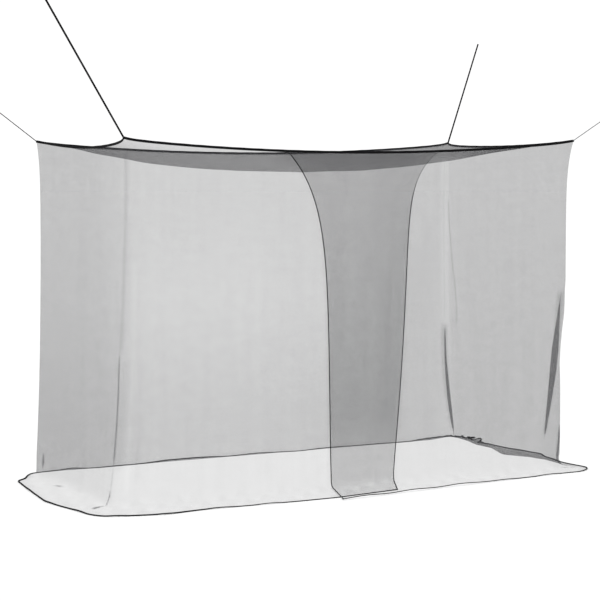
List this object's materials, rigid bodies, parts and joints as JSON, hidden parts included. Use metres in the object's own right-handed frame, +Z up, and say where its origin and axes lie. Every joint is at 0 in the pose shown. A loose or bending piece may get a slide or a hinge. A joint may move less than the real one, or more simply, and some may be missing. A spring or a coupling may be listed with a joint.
{
  "type": "mosquito net canopy",
  "caption": "Box-shaped bed net with a drooping roof panel, bound roof seam, overlapping front entrance panels, a skirt spread on the floor and a hanging cord at each roof corner.",
  "frame": {"origin": "middle of the four hung roof corners, at their height, 1.5 m above the floor", "axes": "+X along the net's length, to the right as seen from the entrance side; +Y from the entrance side to the back; +Z up"},
  "size_m": [3.2519, 2.0489, 2.0425],
  "materials": {
    "charcoal_net": "fine sheer knitted mesh, matte",
    "black_tape": "woven binding tape, matte",
    "black_cord": "braided cord, matte",
    "grey_cord": "thin braided cord, matte"
  },
  "bodies": {
    "root": {"wall_net": "charcoal_net", "roof_panel": "charcoal_net", "roof_binding": "black_tape", "cord_front_left": "black_cord", "cord_back_left": "grey_cord", "cord_back_right": "black_cord", "cord_front_right": "grey_cord"}
  },
  "joints": []
}
